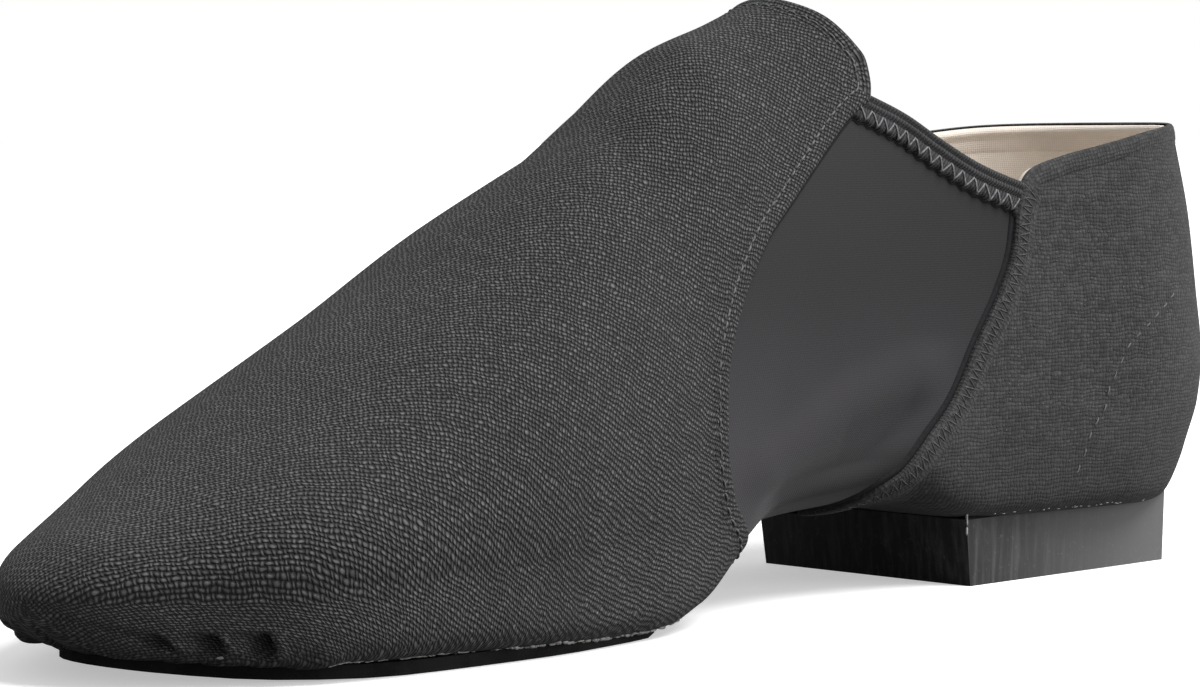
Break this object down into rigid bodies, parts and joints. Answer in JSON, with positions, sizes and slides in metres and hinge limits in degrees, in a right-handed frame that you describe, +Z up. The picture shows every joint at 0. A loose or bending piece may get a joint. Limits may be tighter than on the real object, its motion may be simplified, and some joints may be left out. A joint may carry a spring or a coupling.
{
  "type": "jazz shoe",
  "caption": "Low slip-on jazz shoe for the right foot: canvas vamp with a high tongue, stretch side panels, canvas heel quarter, split sole and a low block heel.",
  "frame": {"origin": "on the floor, at the middle of the shoe's length and width seen from above", "axes": "+Y from toe to heel along the shoe, +Z up, +X toward the inner side of the foot, which is the wearer's left on this right shoe"},
  "size_m": [0.0904, 0.2602, 0.0988],
  "materials": {
    "canvas": "charcoal black woven canvas, matte",
    "binding": "dark grey knitted elastic binding, matte",
    "lining": "pale beige cotton lining, matte",
    "sole_suede": "black split suede, matte",
    "heel_rubber": "black moulded rubber, satin"
  },
  "bodies": {
    "root": {"upper": "canvas", "collar_binding_left": "binding", "collar_binding_right": "binding", "insole": "lining", "forefoot_sole": "sole_suede", "heel": "heel_rubber"}
  },
  "joints": []
}
